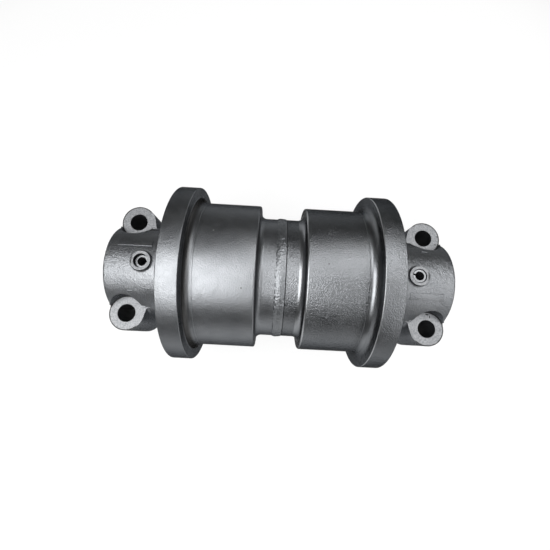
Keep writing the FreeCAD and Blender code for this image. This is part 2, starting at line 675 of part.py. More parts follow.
def make_collar(side):
    """A cast end collar: disc, barrel, two bolt lugs, pin boss, hub and seal pocket."""
    body = new_body(f"{side}_collar", side)
    turned(
        body,
        "Casting",
        [
            (HUB_NOSE, "0"),
            (HUB_NOSE, HUB_R),
            (DISC_FACE, HUB_R),
            (DISC_FACE, DISC_R),
            (DISC_BACK, DISC_R),
            (DISC_BACK, BARREL_R),
            (COLLAR_END, BARREL_R),
            (COLLAR_END, "0"),
        ],
    )
    round_edges(body, "DiscRoot", ring_at(DISC_BACK, BARREL_R), "Sizes.disc_root_round")
    round_edges(
        body,
        "DiscEdges",
        any_of(ring_at(DISC_FACE, DISC_R), ring_at(DISC_BACK, DISC_R)),
        "Sizes.disc_edge_round",
    )
    round_edges(body, "BarrelEnd", ring_at(COLLAR_END, BARREL_R), "Sizes.collar_end_round")

    sketch = new_sketch(body, "Lugs_outline", "XY_Plane", f"-{MOUNT_DEPTH}")
    lug_outline(sketch)
    pad(body, "Lugs", sketch, f"{MOUNT_DEPTH} + Sizes.spot_face_height")
    round_edges(body, "LugRoot", ring_at(LUG_START, BARREL_R), "Sizes.lug_root_round")

    sketch = new_sketch(body, "PinBoss_outline", "XY_Plane")
    circle(sketch, PIN_X, "0", PIN_BOSS_R)
    pad(body, "PinBoss", sketch, PIN_TOP)
    boss_r = value(PIN_BOSS_R)
    boss_x = value(PIN_X)
    boss_top = value(PIN_TOP)

    def boss_foot(edge):
        """The curved edge where the pin boss leaves the barrel."""
        spots = edge.discretize(FOOT_SPOTS)
        return all(
            abs(math.hypot(p.x - boss_x, p.y) - boss_r) < FOOT_MATCH
            and boss_top / 2 < p.z < boss_top - MATCH
            for p in spots
        )

    round_edges(body, "PinBossFoot", boss_foot, "Sizes.pin_boss_root_round")

    sketch = new_sketch(body, "SpotFaces_outline", "XY_Plane", "Sizes.spot_face_height")
    circle(sketch, BOLT_X, BOLT_Y, SPOT_R)
    circle(sketch, BOLT_X, f"-{BOLT_Y}", SPOT_R)
    pocket(body, "SpotFaces", sketch, True)

    sketch = new_sketch(body, "MountFlat_outline", "XY_Plane", f"-{MOUNT_DEPTH}")
    flat_end = f"({COLLAR_END} + {OVERRUN})"
    outline(
        sketch,
        [
            (FLAT_START, f"-{BARREL_R}"),
            (flat_end, f"-{BARREL_R}"),
            (flat_end, BARREL_R),
            (FLAT_START, BARREL_R),
        ],
    )
    pocket(body, "MountFlat", sketch, False)

    pocket_floor = mirrored(POCKET_FLOOR)
    turned_cut(
        body,
        "SealPocket",
        [
            (f"{DISC_FACE} - {OVERRUN}", HUB_R),
            (pocket_floor, HUB_R),
            (pocket_floor, f"{SEAL_SEAT_R} - Sizes.seal_seat_rise / 2"),
            (DISC_FACE, f"{SEAL_SEAT_R} + Sizes.seal_seat_rise / 2"),
            (f"{DISC_FACE} - {OVERRUN}", f"{SEAL_SEAT_R} + Sizes.seal_seat_rise / 2"),
        ],
    )
    turned_cut(
        body,
        "Bore",
        [
            (f"{HUB_NOSE} - {OVERRUN}", "0"),
            (f"{HUB_NOSE} - {OVERRUN}", COLLAR_BORE_R),
            (f"{COLLAR_END} + {OVERRUN}", COLLAR_BORE_R),
            (f"{COLLAR_END} + {OVERRUN}", "0"),
        ],
    )
    chamfer_edges(
        body, "BoreChamfer", ring_at(COLLAR_END, COLLAR_BORE_R), "Sizes.collar_bore_chamfer"
    )

    sketch = new_sketch(body, "BoltHoles_centres", "XY_Plane", "Sizes.spot_face_height")
    circle(sketch, BOLT_X, BOLT_Y, BOLT_R)
    circle(sketch, BOLT_X, f"-{BOLT_Y}", BOLT_R)
    hole(body, "BoltHoles", sketch, "Sizes.bolt_hole_dia")

    sketch = new_sketch(body, "PinHole_centre", "XY_Plane", PIN_TOP)
    circle(sketch, PIN_X, "0", PIN_R)
    hole(body, "PinHole", sketch, "Sizes.pin_dia", PIN_HOLE_DEPTH)

    round_edges(
        body,
        "PinBossEdge",
        upright_ring_at(PIN_X, "0", PIN_TOP, PIN_BOSS_R),
        "Sizes.pin_boss_edge_round",
    )
    return body


def make_lock_pin(side):
    """A slotted spring pin that locks a collar to the shaft, its slot facing inboard."""
    body = new_body(f"{side}_lock_pin")
    turn = OUTWARD_TURN[side] - value(f"Sizes.{side}_pin_turn")
    body.Placement = FreeCAD.Placement(FreeCAD.Vector(), FreeCAD.Rotation(Z_AXIS, turn))
    sign = "" if side == "right" else "-"
    body.setExpression(".Placement.Base.x", f"{sign}{PIN_X}")
    foot = f"{PIN_TOP} - Sizes.{side}_pin_sink - {PIN_LENGTH}"
    body.setExpression(".Placement.Base.z", foot)
    sketch = new_sketch(body, "Tube_outline", "XY_Plane")
    circle(sketch, "0", "0", PIN_R)
    circle(sketch, "0", "0", f"{PIN_R} - Sizes.pin_wall")
    pad(body, "Tube", sketch, PIN_LENGTH)
    chamfer_edges(
        body,
        "EndChamfers",
        any_of(
            upright_ring_at("0", "0", "0", PIN_R),
            upright_ring_at("0", "0", PIN_LENGTH, PIN_R),
        ),
        "Sizes.pin_end_chamfer",
    )
    sketch = new_sketch(body, "Slot_outline", "XY_Plane")
    outline(
        sketch,
        [
            ("0", "-Sizes.pin_slot / 2"),
            ("0", "Sizes.pin_slot / 2"),
            ("-Sizes.pin_dia", "Sizes.pin_slot / 2"),
            ("-Sizes.pin_dia", "-Sizes.pin_slot / 2"),
        ],
    )
    pocket(body, "Slot", sketch, True)
    return body


# The whole roller


def make_all():
    """Builds every piece and gives the list of them."""
    pieces = [make_shaft(), make_plug(), make_weld()]
    for side in ("left", "right"):
        pieces.append(make_shell(side))
        pieces.append(make_bushing(side))
        pieces.append(make_collar(side))
        pieces.append(make_lock_pin(side))
        pieces.append(make_seal_ring(side, "rotating", same))
        pieces.append(make_seal_ring(side, "fixed", mirrored))
        pieces.append(
            make_ring(f"{side}_rotating_toric", side, same(TORIC_X), TORIC_RING_R, TORIC_DIA)
        )
        pieces.append(
            make_ring(f"{side}_fixed_toric", side, mirrored(TORIC_X), TORIC_RING_R, TORIC_DIA)
        )
        oring_ring_r = f"({ORING_FLOOR_R} + Sizes.oring_fit_gap + {ORING_DIA} / 2)"
        pieces.append(
            make_ring(f"{side}_shaft_oring", side, ORING_X, oring_ring_r, ORING_DIA)
        )
    doc.recompute()
    return pieces


def check_document(pieces):
    """Stops if a feature failed, a cut removed nothing, or a piece isn't one valid solid."""
    for item in doc.Objects:
        if "Invalid" in item.State or "Error" in item.State:
            raise RuntimeError(f"{item.Name} failed: {item.State}")
        if item.TypeId in ("PartDesign::Pocket", "PartDesign::Groove", "PartDesign::Hole"):
            if item.Shape.Volume > item.BaseFeature.Shape.Volume - MATCH:
                raise RuntimeError(f"{item.Name} cuts nothing")
    for piece in pieces:
        shape = piece.Shape
        if shape.isNull() or not shape.isValid() or len(shape.Solids) != 1:
            raise RuntimeError(f"{piece.Label} isn't one valid solid")


def write_parts(pieces):
    """Writes each piece to parts/ under its own label."""
    os.makedirs("parts", exist_ok=True)
    for piece in pieces:
        piece.Shape.exportStep(f"parts/{piece.Label}.step")
        print(f"{piece.Label}: {piece.Shape.Volume / 1000:.1f} cm3")


fill_sheet()
roller = make_all()
check_document(roller)
write_parts(roller)
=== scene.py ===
"""Looks of a crawler machine's bottom track roller, built around its packed construction.

The roller's axis is X, the collars' bolt head faces look up along Z, and lengths are metres.
"""

import logging
import math
from dataclasses import dataclass, replace
from enum import Enum
from typing import Callable, Dict, List, Optional, Sequence, Tuple, Union

import bmesh
import bpy
from mathutils import Euler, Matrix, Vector, noise


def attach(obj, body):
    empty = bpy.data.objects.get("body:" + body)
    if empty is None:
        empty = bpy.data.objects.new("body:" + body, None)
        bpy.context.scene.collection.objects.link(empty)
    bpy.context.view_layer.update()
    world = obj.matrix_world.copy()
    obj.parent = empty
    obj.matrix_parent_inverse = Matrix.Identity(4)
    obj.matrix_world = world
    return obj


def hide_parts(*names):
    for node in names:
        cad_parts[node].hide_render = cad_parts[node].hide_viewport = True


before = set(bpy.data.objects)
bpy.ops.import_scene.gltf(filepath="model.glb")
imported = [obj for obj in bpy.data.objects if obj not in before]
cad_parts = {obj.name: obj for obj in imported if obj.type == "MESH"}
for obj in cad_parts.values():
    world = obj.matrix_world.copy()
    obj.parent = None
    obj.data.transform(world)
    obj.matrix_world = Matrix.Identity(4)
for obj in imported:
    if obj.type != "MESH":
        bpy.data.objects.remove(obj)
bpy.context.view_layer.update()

LOG = logging.getLogger("track_roller")
MM = 0.001

Piece = bpy.types.Object
Face = bpy.types.MeshPolygon
Socket = bpy.types.NodeSocket
Feed = Union[Socket, float, Sequence[float]]
Span = Tuple[float, float]
Station = Tuple[float, float]
Triple = Tuple[float, float, float]


class Side(Enum):
    """Which end of the roller a piece belongs to, as the nodes' names say it."""

    LEFT = "left"
    RIGHT = "right"


class Body(Enum):
    """The two bodies that the roller's one joint parts."""

    FIXED = "frame_side"
    ROLLING = "roller"


class Slope(Enum):
    """How a graded value climbs."""

    SOFT = "SMOOTHSTEP"
    STRAIGHT = "LINEAR"


# Mesh tools


def radius_of(place: Vector) -> float:
    """A place's distance from the roller's axis."""
    return math.hypot(place.y, place.z)


def deselect_all() -> None:
    """Leaves nothing selected, in object mode."""
    if bpy.context.object is not None and bpy.context.object.mode != "OBJECT":
        bpy.ops.object.mode_set(mode="OBJECT")
    bpy.ops.object.select_all(action="DESELECT")


def activate(piece: Piece) -> None:
    """Makes one object the only selected and active one.

    Args:
        piece: The object to work on next.
    """
    deselect_all()
    piece.select_set(True)
    bpy.context.view_layer.objects.active = piece


def settle(piece: Piece) -> None:
    """Puts an object's place, turn and size into its mesh, and leaves it at the origin."""
    activate(piece)
    bpy.ops.object.transform_apply(location=True, rotation=True, scale=True)


def apply_modifier(piece: Piece, kind: str, **settings: object) -> None:
    """Adds one modifier to an object and applies it.

    Args:
        piece: The object to change.
        kind: The modifier's type.
        **settings: The modifier's properties.
    """
    activate(piece)
    modifier = piece.modifiers.new(kind.lower(), kind)
    for name, value in settings.items():
        setattr(modifier, name, value)
    bpy.ops.object.modifier_apply(modifier=modifier.name)


def clean_normals(piece: Piece, merge: float = 1e-6) -> None:
    """Merges a mesh's doubled points and turns its faces outwards.

    Args:
        piece: The object to mend.
        merge: How close two points are to be one, in metres.
    """
    activate(piece)
    bpy.ops.object.mode_set(mode="EDIT")
    bpy.ops.mesh.select_all(action="SELECT")
    bpy.ops.mesh.remove_doubles(threshold=merge)
    bpy.ops.mesh.normals_make_consistent(inside=False)
    bpy.ops.object.mode_set(mode="OBJECT")


def shade(piece: Piece, degrees: float) -> None:
    """Shades an object smooth up to an edge angle."""
    activate(piece)
    bpy.ops.object.shade_smooth_by_angle(angle=math.radians(degrees))


def join(pieces: Sequence[Piece], name: str) -> Piece:
    """Makes one object of several.

    Args:
        pieces: The objects, of which the first takes in the others.
        name: The name of the result.

    Returns:
        The joined object.
    """
    deselect_all()
    for piece in pieces:
        piece.select_set(True)
    bpy.context.view_layer.objects.active = pieces[0]
    bpy.ops.object.join()
    pieces[0].name = name
    return pieces[0]


def cylinder(name: str, radius: float, start: Vector, end: Vector, segments: int) -> Piece:
    """Adds a closed cylinder between two points.

    Args:
        name: The object's name.
        radius: The cylinder's radius.
        start: The middle of one end.
        end: The middle of the other end.
        segments: Corners round the cylinder.

    Returns:
        The cylinder, settled at the origin.
    """
    deselect_all()
    along = end - start
    turn = along.to_track_quat("Z", "Y").to_euler()
    bpy.ops.mesh.primitive_cylinder_add(
        vertices=segments,
        radius=radius,
        depth=along.length,
        location=(start + end) / 2,
        rotation=turn,
    )
    piece = bpy.context.object
    piece.name = name
    settle(piece)
    return piece


def lying(name: str, radius: float, span: Span, segments: int) -> Piece:
    """Adds a cylinder on the roller's axis, from one x to another."""
    start, end = (Vector((x, 0, 0)) for x in span)
    return cylinder(name, radius, start, end, segments)


def upright(name: str, radius: float, middle: Station, span: Span, segments: int = 96) -> Piece:
    """Adds an upright cylinder about a middle (x, y), from one height to another."""
    low, high = (Vector((*middle, z)) for z in span)
    return cylinder(name, radius, low, high, segments)


def block(name: str, low: Triple, high: Triple) -> Piece:
    """Adds a box between two corners.

    Args:
        name: The object's name.
        low: The lowest corner.
        high: The highest corner.

    Returns:
        The box, settled at the origin.
    """
    deselect_all()
    bpy.ops.mesh.primitive_cube_add(size=1.0, location=(Vector(low) + Vector(high)) / 2)
    piece = bpy.context.object
    piece.name = name
    piece.scale = Vector(high) - Vector(low)
    settle(piece)
    return piece


def rounded(corners: Sequence[Triple], steps: int = 8) -> List[Station]:
    """Turns corners with radii into the stations of a profile.

    Args:
        corners: (x, radius from the axis, rounding) of each corner of a closed profile.
        steps: Stations on each rounding.

    Returns:
        The (x, radius) stations round the profile.
    """
    stations: List[Station] = []
    for i, (x, r, rounding) in enumerate(corners):
        here = Vector((x, r))
        if rounding <= 0.0:
            stations.append((x, r))
            continue
        before = Vector(corners[i - 1][:2]) - here
        after = Vector(corners[(i + 1) % len(corners)][:2]) - here
        before.normalize()
        after.normalize()
        half = before.angle(after) / 2
        reach = rounding / math.tan(half)
        middle = here + (before + after).normalized() * rounding / math.sin(half)
        first = here + before * reach - middle
        turn = first.angle_signed(here + after * reach - middle)
        for k in range(steps + 1):
            angle = -turn * k / steps
            across = first.x * math.cos(angle) - first.y * math.sin(angle)
            up = first.x * math.sin(angle) + first.y * math.cos(angle)
            stations.append(tuple(middle + Vector((across, up))))
    return stations


def turned(name: str, stations: Sequence[Station], segments: int) -> Piece:
    """Turns a closed profile about the roller's axis.

    A circle is added at the first station, then extruded and resized to each of the others.

    Args:
        name: The object's name.
        stations: (x, radius) round the profile.
        segments: Corners round the axis.

    Returns:
        A closed ring-shaped solid.
    """
    deselect_all()
    x, radius = stations[0]
    bpy.ops.mesh.primitive_circle_add(
        vertices=segments, radius=radius, location=(x, 0, 0), rotation=(0, math.pi / 2, 0)
    )
    piece = bpy.context.object
    piece.name = name
    settle(piece)
    bpy.ops.object.mode_set(mode="EDIT")
    bpy.ops.mesh.select_all(action="SELECT")
    for next_x, next_radius in (*stations[1:], stations[0]):
        bpy.ops.mesh.extrude_region_move(TRANSFORM_OT_translate={"value": (next_x - x, 0, 0)})
        scale = next_radius / radius
        bpy.ops.transform.resize(value=(1, scale, scale), center_override=(next_x, 0, 0))
        x, radius = next_x, next_radius
    bpy.ops.object.mode_set(mode="OBJECT")
    clean_normals(piece)
    return piece


def mirror_copy(piece: Piece, name: str) -> Piece:
    """Copies a piece, with its own mesh, turned half a turn about Z.

    Args:
        piece: The right-hand piece.
        name: The left-hand piece's name.

    Returns:
        The copy, settled at the origin.
    """
    other = piece.copy()
    other.data = piece.data.copy()
    other.name = name
    bpy.context.scene.collection.objects.link(other)
    other.rotation_euler = Euler((0, 0, math.pi))
    settle(other)
    return other


# Nodes and finishes


class Nodes:
    """Adds shader nodes to one tree, beside the coordinates that its patterns read."""

    finer_layers: float = 0.55

    def __init__(self, tree: bpy.types.NodeTree, coordinates: str = "Object") -> None:
        """Starts with the coordinates' own node."""
        self.tree = tree
        self.place = self.add("TexCoord").outputs[coordinates]

    def feed(self, socket: Socket, value: Feed) -> None:
        """Links another node's output to a socket, or sets the socket's own value.

        Args:
            socket: The input.
            value: The output or the value.
        """
        if isinstance(value, bpy.types.NodeSocket):
            self.tree.links.new(value, socket)
        else:
            socket.default_value = value

    def add(
        self,
        kind: str,
        inputs: Optional[Dict[Union[str, int], Feed]] = None,
        **settings: object,
    ) -> bpy.types.Node:
        """Adds a node.

        Args:
            kind: The node's type, without the word that all types start with.
            inputs: What feeds its inputs, by their names or numbers.
            **settings: The node's properties, which are set before its inputs.

        Returns:
            The node.
        """
        node = self.tree.nodes.new(f"ShaderNode{kind}")
        for name, value in settings.items():
            setattr(node, name, value)
        for name, value in (inputs or {}).items():
            self.feed(node.inputs[name], value)
        return node

    def number(self, operation: str, *inputs: Feed) -> Socket:
        """Adds arithmetic on numbers."""
        return self.add("Math", dict(enumerate(inputs)), operation=operation).outputs[0]

    def vector(self, operation: str, *inputs: Feed) -> Socket:
        """Adds arithmetic on vectors, which only for a length gives a number."""
        node = self.add("VectorMath", dict(enumerate(inputs)), operation=operation)
        return node.outputs["Value" if operation == "LENGTH" else "Vector"]

    def axis(self, vector: Socket, letter: str) -> Socket:
        """Takes one coordinate of a vector."""
        return self.add("SeparateXYZ", {0: vector}).outputs[letter]

    def noise(self, size: float, detail: float) -> Socket:
        """Adds a noise with features of one size, in metres, and so many finer layers."""
        inputs = {"Scale": 1.0 / size, "Detail": detail, "Roughness": self.finer_layers}
        return self.add("TexNoise", {"Vector": self.place, **inputs}).outputs["Fac"]

    def graded(
        self,
        value: Socket,
        span: Span,
        result: Span = (0.0, 1.0),
        slope: Slope = Slope.SOFT,
    ) -> Socket:
        """Turns one span of a value into another, level outside the span.

        Args:
            value: The value that it follows.
            span: Where the slope starts and ends.
            result: What it gives there.
            slope: How it climbs.

        Returns:
            The graded value.
        """
        inputs = {"Value": value, "From Min": span[0], "From Max": span[1]}
        inputs.update({"To Min": result[0], "To Max": result[1]})
        return self.add("MapRange", inputs, interpolation_type=slope.value).outputs["Result"]

    def toned(self, colour: Socket, share: Socket, tone: float) -> Socket:
        """Lays a grey tone over a colour, as thickly as a share says."""
        inputs = {"Factor": share, "A": colour, "B": (tone, tone, tone, 1)}
        return self.add("Mix", inputs, data_type="RGBA").outputs["Result"]


@dataclass(frozen=True)
class Speck:
    """A small round mark in a finish, at a place on the roller, in millimetres.

    Its fade starts and ends at two shares of its radius.
    """

    place: Triple
    radius: float
    tone: float
    stretch: Triple = (1.0, 1.0, 1.0)
    fade: Span = (0.6, 1.2)

    def lay(self, nodes: Nodes, colour: Socket) -> Socket:
        """Lays the speck over a colour.

        Args:
            nodes: The finish's nodes.
            colour: The colour under it.

        Returns:
            The colour with the speck.
        """
        offset = nodes.vector("SUBTRACT", nodes.place, Vector(self.place) * MM)
        far = nodes.vector("LENGTH", nodes.vector("DIVIDE", offset, self.stretch))
        start, end = (share * self.radius * MM for share in self.fade)
        return nodes.toned(colour, nodes.graded(far, (start, end), (1.0, 0.0)), self.tone)


@dataclass(frozen=True)
class PaintedShadeRim:
    """Painted shade along the edge of the four round faces, which lie alike on every side of the
    middle.
    """

    centre: Station
    radius: float
    width: float
    from_x: float
    tone: float

    def lay(self, nodes: Nodes, colour: Socket) -> Socket:
        """Paints shade on the outer edge of the round faces, apart from their inner corners.

        Args:
            nodes: The finish's nodes.
            colour: The colour under it.

        Returns:
            The colour with the painted shade on its edge.
        """
        folded = nodes.vector("ABSOLUTE", nodes.place)
        offset = nodes.vector("SUBTRACT", folded, (*self.centre, 0.0))
        far = nodes.vector("LENGTH", nodes.vector("MULTIPLY", offset, (1.0, 1.0, 0.0)))
        wavy = nodes.number("MULTIPLY_ADD", nodes.noise(2 * self.width, 3.0), self.width, far)
        edge = nodes.graded(wavy, (self.radius + self.width / 2, self.radius + self.width))
        x = nodes.axis(folded, "X")
        outer = nodes.graded(x, (self.from_x, self.from_x + 2 * self.width))
        return nodes.toned(colour, nodes.number("MULTIPLY", edge, outer), self.tone)


@dataclass(frozen=True)
class PaintedShadeStretch:
    """Painted shade: a darker stretch of a finish along the roller's X."""

    start: float
    full: float
    stop: float
    tone: float
    fade: float = 0.3 * MM

    def lay(self, nodes: Nodes, colour: Socket) -> Socket:
        """Paints shade over the stretch, softly where it starts and sharply where it stops.

        Args:
            nodes: The finish's nodes.
            colour: The colour under it.

        Returns:
            The colour with the painted shade.
        """
        x = nodes.axis(nodes.place, "X")
        inside = nodes.graded(x, (self.start, self.full))
        past = nodes.graded(x, (self.stop, self.stop + math.copysign(self.fade, self.stop)))
        return nodes.toned(colour, nodes.number("SUBTRACT", inside, past), self.tone)


@dataclass(frozen=True)
class Finish:
    """A surface finish made of nodes that read the object's own coordinates.

    Every size in it is the length of a feature in metres, and its marks lie one over another.
    """

    name: str
    tone: Triple
    worn_tone: Triple
    metallic: float = 0.0
    edge_tint: float = 1.0
    specular: float = 0.5
    roughness: float = 0.5
    roughness_swing: float = 0.08
    patch_size: float = 0.03
    patch_span: Span = (0.35, 0.7)
    gloss_span: Span = (0.3, 0.7)
    grain_size: float = 0.0015
    grain_depth: float = 0.00003
    skin_size: float = 0.006
    skin_depth: float = 0.0
    turning_pitch: float = 0.0
    turning_depth: float = 0.0
    turning_wander: float = 0.6
    marks: Tuple[Union[Speck, PaintedShadeRim, PaintedShadeStretch], ...] = ()

    def material(self) -> bpy.types.Material:
        """Builds the finish as a node material.

        Returns:
            The material.
        """
        material = bpy.data.materials.new(self.name)
        material.use_nodes = True
        nodes = Nodes(material.node_tree)
        shader = material.node_tree.nodes["Principled BSDF"]
        inputs = {
            "Metallic": self.metallic,
            "Specular Tint": (self.edge_tint, self.edge_tint, self.edge_tint, 1),
            "Specular IOR Level": self.specular,
            "Base Color": self._colour(nodes),
            "Roughness": self._gloss(nodes),
            "Normal": self._relief(nodes),
        }
        for name, value in inputs.items():
            nodes.feed(shader.inputs[name], value)
        return material

    def _colour(self, nodes: Nodes) -> Socket:
        """Makes the patchy colour, with its marks.

        Args:
            nodes: The finish's nodes.

        Returns:
            The colour.
        """
        ramp = nodes.add("ValToRGB", {"Fac": nodes.noise(self.patch_size, 4.0)})
        tones = (self.tone, self.worn_tone)
        for stop, position, tone in zip(ramp.color_ramp.elements, self.patch_span, tones):
            stop.position = position
            stop.color = (*tone, 1)
        colour = ramp.outputs["Color"]
        for mark in self.marks:
            colour = mark.lay(nodes, colour)
        return colour

    def _gloss(self, nodes: Nodes) -> Socket:
        """Makes the roughness, which swings about its middle in patches.

        Args:
            nodes: The finish's nodes.

        Returns:
            The roughness.
        """
        half = self.roughness_swing / 2
        ends = (self.roughness - half, self.roughness + half)
        fine = nodes.noise(self.patch_size / 3, 3.0)
        return nodes.graded(fine, self.gloss_span, ends, Slope.STRAIGHT)

    def _relief(self, nodes: Nodes) -> Socket:
        """Makes the grain, cast skin and turning marks as bump, one over another.

        Args:
            nodes: The finish's nodes.

        Returns:
            The bumped normal.
        """
        layers = [(nodes.noise(self.grain_size, 2.0), self.grain_depth)]
        if self.skin_depth > 0.0:
            layers.append((nodes.noise(self.skin_size, 4.0), self.skin_depth))
        if self.turning_depth > 0.0:
            bands_at_scale_one = 20 / (2 * math.pi)
            inputs = {
                "Vector": nodes.place,
                "Scale": 1.0 / (self.turning_pitch * bands_at_scale_one),
                "Distortion": self.turning_wander,
            }
            wave = nodes.add("TexWave", inputs, wave_type="BANDS", bands_direction="X")
            layers.append((wave.outputs["Fac"], self.turning_depth))
        under: Dict[str, Feed] = {"Strength": 1.0}
        for height, depth in layers:
            bump = nodes.add("Bump", {"Height": height, "Distance": depth, **under})
            under["Normal"] = bump.outputs["Normal"]
        return under["Normal"]


@dataclass(frozen=True)
class Paint(Finish):
    """The roller's grey metallic paint, which hardly brightens where it is seen edge on."""

    metallic: float = 1.0
    edge_tint: float = 0.0


def dress(piece: Piece, base: Finish, *regions: Tuple[Finish, Callable[[Face], bool]]) -> None:
    """Gives a mesh its finish, and some of its faces finishes of their own.

    Args:
        piece: The object.
        base: The finish of the rest of its faces.
        *regions: Each other finish, with the test of the faces that take it.
    """
    slots = piece.data.materials
    slots.clear()
    slots.append(base.material())
    for face in piece.data.polygons:
        face.material_index = 0
    for finish, chosen in regions:
        slots.append(finish.material())
        faces = [face for face in piece.data.polygons if chosen(face)]
        for face in faces:
            face.material_index = len(slots) - 1
        LOG.info("%s: %d faces take %s", piece.name, len(faces), finish.name)


SHELL_PAINT = Paint(
    name="satin_shell_paint",
    tone=(0.240, 0.249, 0.261),
    worn_tone=(0.270, 0.279, 0.291),
    roughness=0.38,
    grain_depth=0.0003,
    skin_size=0.008,
    skin_depth=0.0001,
    marks=(
        Speck((-83.0, 35.5, 93.5), 0.8, 0.9),
        Speck((-45.3, -32.4, 94.6), 0.9, 0.02),
        # painted shade: the left flange's root hollow and inner wall are darkened, where shade
        # falls
        PaintedShadeStretch(start=-104.5 * MM, full=-109.8 * MM, stop=-112.4 * MM, tone=0.09),
    ),
)
# painted shade: the right half's tone is darker than the left's; its coarser grain is its own
GRAINY_SHADED_SHELL_PAINT = replace(
    SHELL_PAINT,
    name="grainy_shell_paint_with_painted_shade",
    tone=(0.208, 0.216, 0.226),
    worn_tone=(0.234, 0.242, 0.252),
    roughness=0.32,
    grain_size=0.0016,
    grain_depth=0.00056,
    skin_depth=0.00015,
    marks=(Speck((54.3, 0.3, 100.0), 0.8, 0.03),),
)
# painted highlight, in part worn paint: a brighter tone on the right half's rounded edges
EDGE_HIGHLIGHT_PAINT = Paint(
    name="edge_painted_highlight",
    tone=(0.40, 0.41, 0.422),
    worn_tone=(0.46, 0.47, 0.482),
    roughness=0.33,
    grain_size=0.0018,
    grain_depth=0.0001,
)
# painted highlight: a brighter tone in the right half's waist root
ROOT_HIGHLIGHT_PAINT = replace(
    EDGE_HIGHLIGHT_PAINT,
    name="root_painted_highlight",
    tone=(0.29, 0.30, 0.312),
    worn_tone=(0.33, 0.34, 0.352),
    roughness=0.32,
)
# painted highlight: a slightly brighter tone on the tread's side of the right flange's root
FLANGE_ROOT_HIGHLIGHT_PAINT = replace(
    ROOT_HIGHLIGHT_PAINT,
    name="flange_root_painted_highlight",
    tone=(0.222, 0.231, 0.241),
    worn_tone=(0.25, 0.259, 0.27),
)
WELD_PAINT = Paint(
    name="painted_weld",
    tone=(0.24, 0.25, 0.262),
    worn_tone=(0.31, 0.32, 0.332),
    roughness=0.42,
    grain_size=0.0016,
    grain_depth=0.0003,
    skin_size=0.003,
    skin_depth=0.0003,
)
CAST_PAINT = Paint(
    name="painted_casting",
    tone=(0.245, 0.254, 0.266),
    worn_tone=(0.285, 0.294, 0.306),
    roughness=0.4,
    grain_size=0.0014,
    grain_depth=0.00042,
    skin_size=0.003,
    skin_depth=0.0004,
)
FACED_PAINT = Paint(
    name="painted_faced_metal",
    tone=(0.24, 0.247, 0.258),
    worn_tone=(0.46, 0.468, 0.48),
    edge_tint=0.3,
    roughness=0.58,
    patch_size=0.0015,
    grain_size=0.002,
    grain_depth=0.0002,
    marks=(
        Speck((223.0, 67.5, 23.0), 1.0, 0.03),
        Speck((219.5, 55.5, 23.0), 1.1, 0.04),
        Speck((204.0, -44.5, 23.0), 1.1, 0.05, (2.4, 0.9, 1.0)),
        Speck((207.5, -47.8, 23.0), 0.9, 0.06, (1.0, 2.2, 1.0)),
        # painted shade along the outer edge of the bolt faces
        PaintedShadeRim((202.5 * MM, 64 * MM), radius=21.4 * MM, width=1.2 * MM, from_x=186 * MM, tone=0.06),
    ),
)
# painted shade: near black for the walls of holes and the weld's undercut
HOLE_PAINTED_SHADE = Finish(
    name="hole_painted_shade",
    tone=(0.014, 0.015, 0.017),
    worn_tone=(0.02, 0.021, 0.023),
    roughness=0.7,
    specular=0.1,
)
PIN_PAINT = Paint(
    name="painted_pin",
    tone=(0.30, 0.31, 0.32),
    worn_tone=(0.36, 0.37, 0.38),
    edge_tint=0.2,
    roughness=0.42,
)
SHAFT_STEEL = Finish(
    name="ground_shaft_steel",
    tone=(0.33, 0.335, 0.345),
    worn_tone=(0.4, 0.405, 0.41),
    metallic=1.0,
    roughness=0.32,
    turning_pitch=0.00377,
    turning_depth=0.000008,
)
PLUG_STEEL = Finish(
    name="phosphated_plug",
    tone=(0.07, 0.072, 0.076),
    worn_tone=(0.13, 0.132, 0.136),
    metallic=0.8,
    roughness=0.42,
)
BRONZE = Finish(
    name="bored_bronze",
    tone=(0.42, 0.26, 0.10),
    worn_tone=(0.52, 0.34, 0.15),
    metallic=1.0,
    roughness=0.35,
)
SEAL_IRON = Finish(
    name="lapped_seal_iron",
    tone=(0.30, 0.30, 0.31),
    worn_tone=(0.36, 0.36, 0.37),
    metallic=1.0,
    roughness=0.25,
)
SEAL_RUBBER = Finish(
    name="seal_rubber",
    tone=(0.012, 0.012, 0.012),
    worn_tone=(0.022, 0.022, 0.022),
    roughness=0.65,
)


# Sub-assemblies


